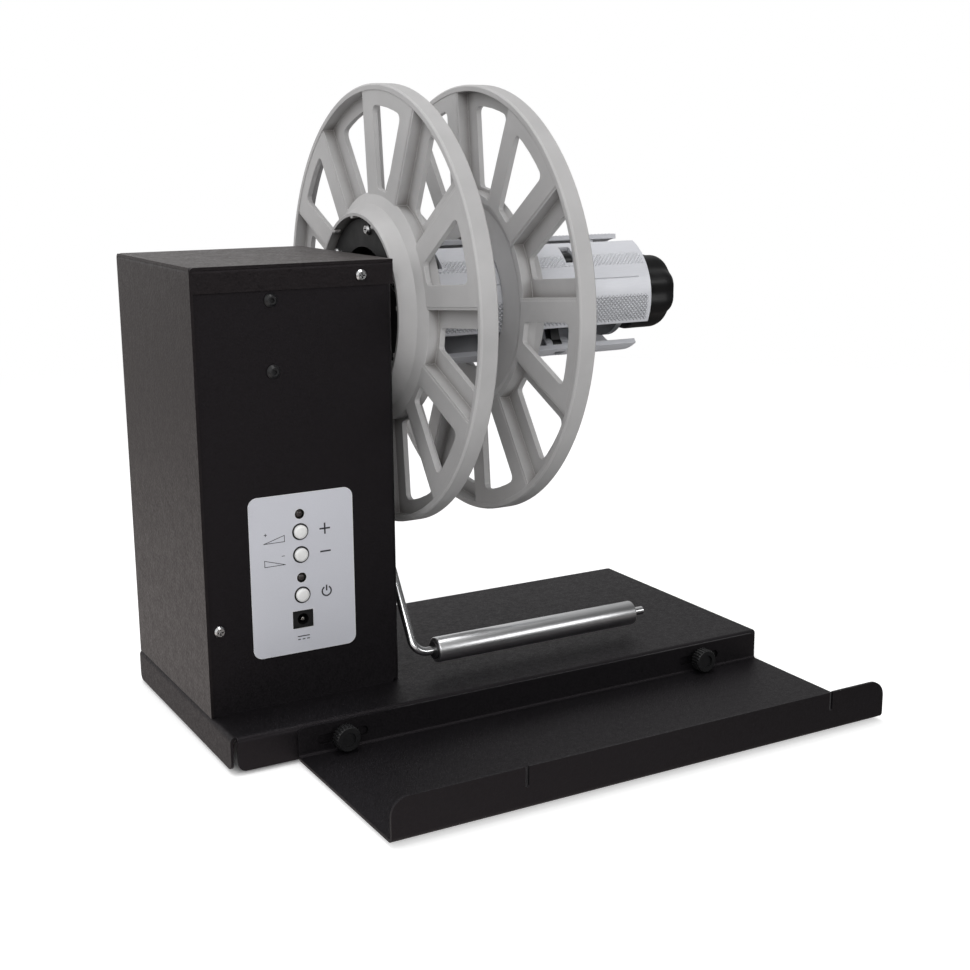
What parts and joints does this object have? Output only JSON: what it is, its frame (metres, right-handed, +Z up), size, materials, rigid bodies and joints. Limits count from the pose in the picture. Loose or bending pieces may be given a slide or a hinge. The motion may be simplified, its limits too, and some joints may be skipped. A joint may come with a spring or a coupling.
{
  "type": "label unwinder",
  "caption": "Benchtop label unwinder: a motor tower on a folded steel base, a spoked reel on an expanding core, a dancer arm with a roller, and a sliding front tray.",
  "frame": {"origin": "middle of the whole object's footprint, on the table that the rubber feet stand on", "axes": "+Z up; +X along the spindle from the tower towards the knob; -Y to the front, where the tray and the control panel are"},
  "size_m": [0.34, 0.3288, 0.3454],
  "materials": {
    "powder_coat": "fine textured black powder coat",
    "foot_rubber": "matte rubber",
    "black_plastic": "satin moulded plastic",
    "zinc_steel": "bright zinc plating",
    "black_oxide": "black oxide",
    "label_film": "printed satin film",
    "button_plastic": "smooth moulded plastic",
    "lens_plastic": "dark tinted lens",
    "board_laminate": "green solder mask",
    "brass": "turned",
    "motor_metal": "satin",
    "ground_steel": "ground",
    "polished_steel": "polished",
    "flange_plastic": "fine grained moulded plastic",
    "core_aluminium": "satin anodised"
  },
  "bodies": {
    "frame": {"base_plate": "powder_coat", "base_feet": "foot_rubber", "base_nuts": "zinc_steel", "tower_chassis": "powder_coat", "tower_cover": "powder_coat", "cover_screws": "zinc_steel", "bracket_screws": "black_oxide", "tower_screws": "zinc_steel", "control_label": "label_film", "circuit_board": "board_laminate", "board_standoffs": "brass", "tact_switches": "black_plastic", "indicator_leds": "lens_plastic", "dc_socket": "black_plastic", "motor_bracket": "zinc_steel", "gear_motor": "motor_metal", "motor_screws": "zinc_steel", "bearing_housing": "motor_metal", "housing_screws": "zinc_steel", "spindle_bearings": "ground_steel", "arm_bush": "brass", "slot_sensor": "black_plastic", "arm_stops": "zinc_steel"},
    "tray": {"front_tray": "powder_coat", "tray_feet": "foot_rubber"},
    "thumb_left": {"thumbscrew_left": "black_plastic"},
    "thumb_right": {"thumbscrew_right": "black_plastic"},
    "key_faster": {"button_faster": "button_plastic"},
    "key_slower": {"button_slower": "button_plastic"},
    "key_power": {"button_power": "button_plastic"},
    "reel": {"motor_shaft": "ground_steel", "shaft_coupling": "motor_metal", "spindle_shaft": "ground_steel", "drive_plate": "black_plastic", "inner_flange": "flange_plastic", "flange_screws": "zinc_steel", "core_hub": "motor_metal", "hinge_pins": "zinc_steel"},
    "knob": {"core_knob": "black_plastic", "core_cam": "motor_metal", "knob_grub_screw": "black_oxide"},
    "fin_1": {"core_fin_1": "core_aluminium"},
    "fin_2": {"core_fin_2": "core_aluminium"},
    "fin_3": {"core_fin_3": "core_aluminium"},
    "guide": {"outer_flange": "flange_plastic"},
    "arm": {"dancer_arm": "polished_steel", "arm_collar": "zinc_steel", "sensor_flag": "zinc_steel", "roller_clips": "black_oxide"},
    "roller": {"dancer_roller": "polished_steel", "roller_bushes": "black_plastic"}
  },
  "joints": [
    {"name": "reel_spin", "type": "hinge", "parent": "frame", "child": "reel", "pos_m": [0, 0.041, 0.222], "axis": [1, 0, 0], "continuous": true},
    {"name": "knob_turn", "type": "hinge", "parent": "reel", "child": "knob", "pos_m": [0, 0.041, 0.222], "axis": [-1, 0, 0], "range_deg": [0, 70]},
    {"name": "fin_1_swing", "type": "hinge", "parent": "reel", "child": "fin_1", "pos_m": [-0.02, 0.02059, 0.24467], "axis": [-1, 0, 0], "range_deg": [0, 4.2]},
    {"name": "fin_2_swing", "type": "hinge", "parent": "reel", "child": "fin_2", "pos_m": [-0.02, 0.03157, 0.19299], "axis": [-1, 0, 0], "range_deg": [0, 4.2]},
    {"name": "fin_3_swing", "type": "hinge", "parent": "reel", "child": "fin_3", "pos_m": [-0.02, 0.07083, 0.22834], "axis": [-1, 0, 0], "range_deg": [0, 4.2]},
    {"name": "guide_slide", "type": "slide", "parent": "reel", "child": "guide", "axis": [1, 0, 0], "range_m": [-0.045, 0.065]},
    {"name": "arm_swing", "type": "hinge", "parent": "frame", "child": "arm", "pos_m": [0, 0.0383, 0.122], "axis": [-1, 0, 0], "range_deg": [0, 60]},
    {"name": "roller_spin", "type": "hinge", "parent": "arm", "child": "roller", "pos_m": [0, -0.0185, 0.0332], "axis": [1, 0, 0], "continuous": true},
    {"name": "key_faster_press", "type": "slide", "parent": "frame", "child": "key_faster", "axis": [0, 1, 0], "range_m": [0, 0.001], "stiffness_N_per_m": 1500},
    {"name": "key_slower_press", "type": "slide", "parent": "frame", "child": "key_slower", "axis": [0, 1, 0], "range_m": [0, 0.001], "stiffness_N_per_m": 1500},
    {"name": "key_power_press", "type": "slide", "parent": "frame", "child": "key_power", "axis": [0, 1, 0], "range_m": [0, 0.001], "stiffness_N_per_m": 1500},
    {"name": "thumb_left_turn", "type": "hinge", "parent": "frame", "child": "thumb_left", "pos_m": [-0.11, -0.054, 0.011], "axis": [0, 1, 0], "continuous": true},
    {"name": "thumb_right_turn", "type": "hinge", "parent": "frame", "child": "thumb_right", "pos_m": [0.123, -0.054, 0.011], "axis": [0, 1, 0], "continuous": true},
    {"name": "tray_slide", "type": "slide", "parent": "frame", "child": "tray", "axis": [1, 0, 0], "range_m": [-0.012, 0.012]}
  ],
  "couplings": [
    {"joint": "fin_1_swing", "follows": "knob_turn", "ratio": 0.06},
    {"joint": "fin_2_swing", "follows": "knob_turn", "ratio": 0.06},
    {"joint": "fin_3_swing", "follows": "knob_turn", "ratio": 0.06}
  ]
}
